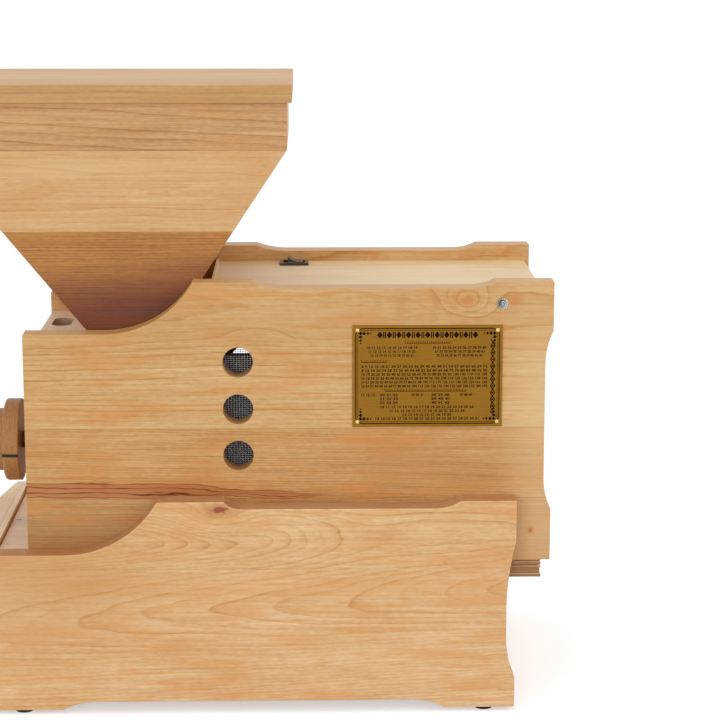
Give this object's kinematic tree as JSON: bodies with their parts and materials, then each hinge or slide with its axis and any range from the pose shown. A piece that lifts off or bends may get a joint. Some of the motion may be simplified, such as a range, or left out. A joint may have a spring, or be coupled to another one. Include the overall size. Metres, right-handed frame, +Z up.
{
  "type": "electric grain mill",
  "caption": "Wooden household grain mill: level motor and millstones in a long housing, lidded hopper above, setting knob in front, flour drawer in the base.",
  "frame": {"origin": "On the surface the mill stands on, under the middle of its overall length and width", "axes": "+X to the rear of the mill, away from the setting knob; +Y across to the side with the rocker switch; +Z up"},
  "size_m": [0.6126, 0.332, 0.623],
  "materials": {
    "housing_wood": "oiled, satin",
    "board_wood": "oiled, satin",
    "deck_wood": "oiled, satin",
    "hopper_wood": "oiled, satin",
    "base_wood": "oiled, satin",
    "base_deck_wood": "oiled, satin",
    "drawer_wood": "oiled, satin",
    "turned_wood": "oiled, satin",
    "steel": "plain",
    "dark_steel": "browned",
    "felt": "matte fleece",
    "brass": "antiqued, engraved",
    "stone": "sintered grit",
    "aluminium": "cast and sheet",
    "motor_paint": "satin paint",
    "core_steel": "bare laminations",
    "copper": "varnished copper wire",
    "black_plastic": "moulded",
    "switch_plastic": "moulded, satin gloss",
    "white_plastic": "moulded",
    "rubber": "matte"
  },
  "bodies": {
    "frame": {"side_panel_near": "housing_wood", "side_panel_far": "housing_wood", "front_board": "board_wood", "feed_board": "board_wood", "bulkhead": "board_wood", "rear_panel": "board_wood", "base_back": "board_wood", "drawer_runners": "board_wood", "motor_deck": "deck_wood", "hopper_side_near": "hopper_wood", "hopper_side_far": "hopper_wood", "hopper_front": "hopper_wood", "hopper_rear": "hopper_wood", "hopper_slopes": "hopper_wood", "base_cheek_near": "base_wood", "base_cheek_far": "base_wood", "base_deck": "base_deck_wood", "vent_screens": "steel", "panel_screws": "steel", "base_screws": "steel", "guide_rods": "steel", "motor_screws": "steel", "motor_bearings": "steel", "dust_fleece": "felt", "maker_plate": "brass", "plate_pins": "brass", "spindle_bush": "brass", "stone_chamber": "aluminium", "feed_duct": "aluminium", "flour_chute": "aluminium", "motor_housing": "motor_paint", "front_shield": "motor_paint", "rear_shield": "motor_paint", "fan_cowl": "motor_paint", "stator_core": "core_steel", "stator_windings": "copper", "terminal_box": "black_plastic", "cable_gland": "black_plastic", "switch_body": "switch_plastic", "capacitor": "white_plastic", "rubber_feet": "rubber"},
    "lid": {"lid": "hopper_wood", "lid_inset": "hopper_wood"},
    "cover": {"chamber_cover": "board_wood"},
    "setting": {"knob": "turned_wood", "spindle": "dark_steel"},
    "carrier": {"stone_carrier": "aluminium", "fixed_stone": "stone"},
    "rotor": {"running_stone": "stone", "stone_hub": "steel", "auger": "steel", "rotor_core": "core_steel", "motor_shaft": "steel", "fan": "black_plastic"},
    "rocker": {"switch_rocker": "switch_plastic"},
    "drawer": {"drawer_front": "drawer_wood", "drawer_sides": "drawer_wood", "drawer_back": "drawer_wood", "drawer_bottom": "drawer_wood", "drawer_pull": "turned_wood"}
  },
  "joints": [
    {"name": "lid_lift", "type": "slide", "parent": "frame", "child": "lid", "axis": [0, 0, 1], "range_m": [0, 0.12]},
    {"name": "cover_slide", "type": "slide", "parent": "frame", "child": "cover", "axis": [-1, 0, 0], "range_m": [0, 0.066]},
    {"name": "knob_turn", "type": "hinge", "parent": "frame", "child": "setting", "pos_m": [-0.23525, 0, 0.2438], "axis": [1, 0, 0], "range_deg": [-240, 180]},
    {"name": "carrier_slide", "type": "slide", "parent": "frame", "child": "carrier", "axis": [1, 0, 0], "range_m": [-0.001, 0.00075]},
    {"name": "rotor_spin", "type": "hinge", "parent": "frame", "child": "rotor", "pos_m": [-0.01525, 0, 0.2438], "axis": [1, 0, 0], "continuous": true},
    {"name": "switch_rock", "type": "hinge", "parent": "frame", "child": "rocker", "pos_m": [0.05005, 0.092, 0.4158], "axis": [0, -1, 0], "range_deg": [0, 34]},
    {"name": "drawer_slide", "type": "slide", "parent": "frame", "child": "drawer", "axis": [-1, 0, 0], "range_m": [0, 0.3]}
  ],
  "couplings": [
    {"joint": "knob_turn", "follows": "carrier_slide", "rad_per_m": 4188.8}
  ]
}
